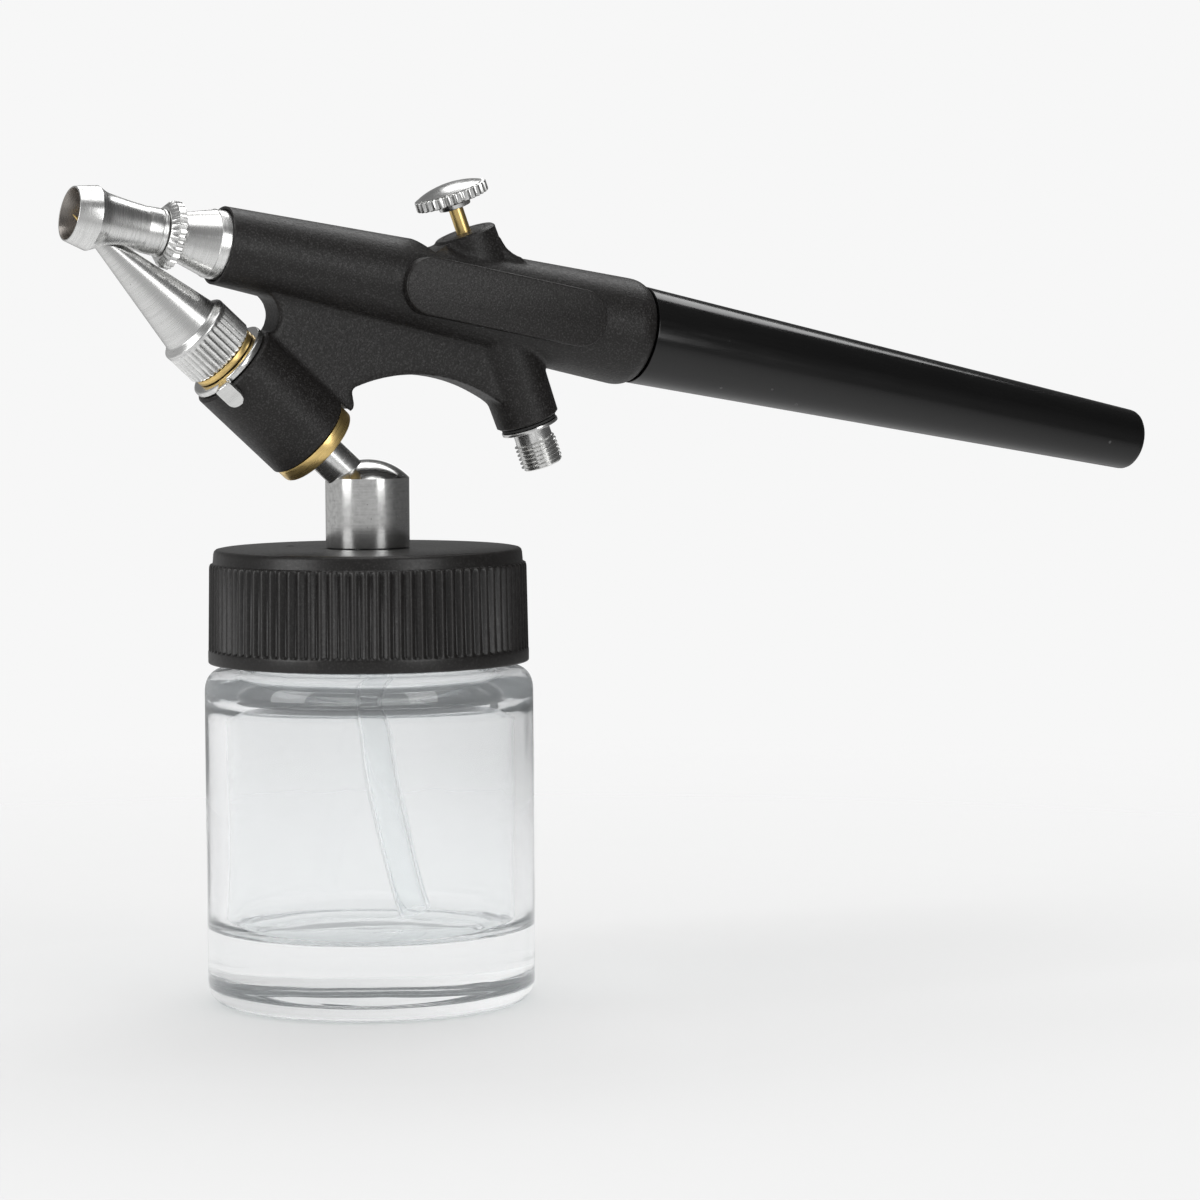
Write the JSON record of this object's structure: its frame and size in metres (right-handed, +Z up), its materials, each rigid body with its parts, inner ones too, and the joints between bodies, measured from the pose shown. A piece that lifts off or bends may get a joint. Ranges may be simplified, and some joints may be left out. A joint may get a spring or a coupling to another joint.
{
  "type": "airbrush gun",
  "caption": "Pen-shaped siphon-feed airbrush: spray bell and paint tip in front, button valve on top, tapered handle behind, glass paint jar below.",
  "frame": {"origin": "centre of the jar's flat base, on the surface it stands on", "axes": "+X towards the handle, with the nozzle towards -X; +Y to the gun's side; +Z up. The gun's mid-plane is Y = 0"},
  "size_m": [0.1436, 0.038, 0.0952],
  "materials": {
    "body_plastic": "black moulded plastic with a fine sparkling grain",
    "handle_plastic": "polished black",
    "lid_plastic": "satin black, ribbed",
    "aluminium": "fine turned",
    "steel": "bright nickel plate",
    "brass": "bright turned",
    "rubber": "black",
    "liner_foam": "white pressed foam",
    "clear_tube": "milky clear plastic tube",
    "glass": "clear pressed glass"
  },
  "bodies": {
    "gun": {"body_shell": "body_plastic", "handle": "handle_plastic", "head_cone": "aluminium", "head_o_ring": "rubber", "spray_bell": "aluminium", "stem_gland": "body_plastic", "stem_seal": "rubber", "valve_seat": "rubber", "valve_spring": "steel", "inlet_fitting": "steel", "inlet_gasket": "rubber", "needle_carrier": "brass", "fluid_needle": "brass", "tab_washer": "steel", "socket_bush": "brass", "socket_o_ring": "rubber"},
    "lock_nut": {"lock_ring": "aluminium"},
    "trigger": {"trigger_button": "steel", "trigger_stem": "brass", "valve_plunger": "brass"},
    "tip_thread": {"tip_seal": "rubber"},
    "paint_tip": {"fluid_tip": "aluminium"},
    "siphon": {"siphon_tube": "steel", "stem_adapter": "aluminium", "stem_nut": "steel", "dip_tube": "clear_tube"},
    "jar_lid": {"lid": "lid_plastic", "lid_liner": "liner_foam"},
    "paint_jar": {"jar": "glass"}
  },
  "joints": [
    {"name": "trigger_press", "type": "slide", "parent": "gun", "child": "trigger", "axis": [0.3486, 0, -0.9373], "range_m": [0, 0.0018], "stiffness_N_per_m": 1500, "springref_m": -0.001, "deforming": ["valve_spring"]},
    {"name": "lock_ring_turn", "type": "hinge", "parent": "gun", "child": "lock_nut", "pos_m": [-0.02521, 0, 0.08865], "axis": [-0.9812, 0, 0.1929], "range_deg": [0, 360]},
    {"name": "tip_advance", "type": "slide", "parent": "gun", "child": "tip_thread", "axis": [-0.7449, 0, 0.6672], "range_m": [0, 0.0005]},
    {"name": "tip_screw", "type": "hinge", "parent": "tip_thread", "child": "paint_tip", "pos_m": [-0.02182, 0, 0.07828], "axis": [-0.7449, 0, 0.6672], "range_deg": [0, 360]},
    {"name": "siphon_swivel", "type": "hinge", "parent": "gun", "child": "siphon", "pos_m": [-0.00748, 0, 0.06543], "axis": [0.7449, 0, -0.6672], "range_deg": [-25, 25]},
    {"name": "lid_turn", "type": "hinge", "parent": "siphon", "child": "jar_lid", "pos_m": [0, 0, 0.0525], "axis": [0, 0, 1], "range_deg": [0, 450]},
    {"name": "jar_drop", "type": "slide", "parent": "siphon", "child": "paint_jar", "axis": [0, 0, -1], "range_m": [0, 0.00375]}
  ],
  "couplings": [
    {"joint": "tip_screw", "follows": "tip_advance", "rad_per_m": 12566},
    {"joint": "lid_turn", "follows": "jar_drop", "rad_per_m": 2094.4}
  ]
}
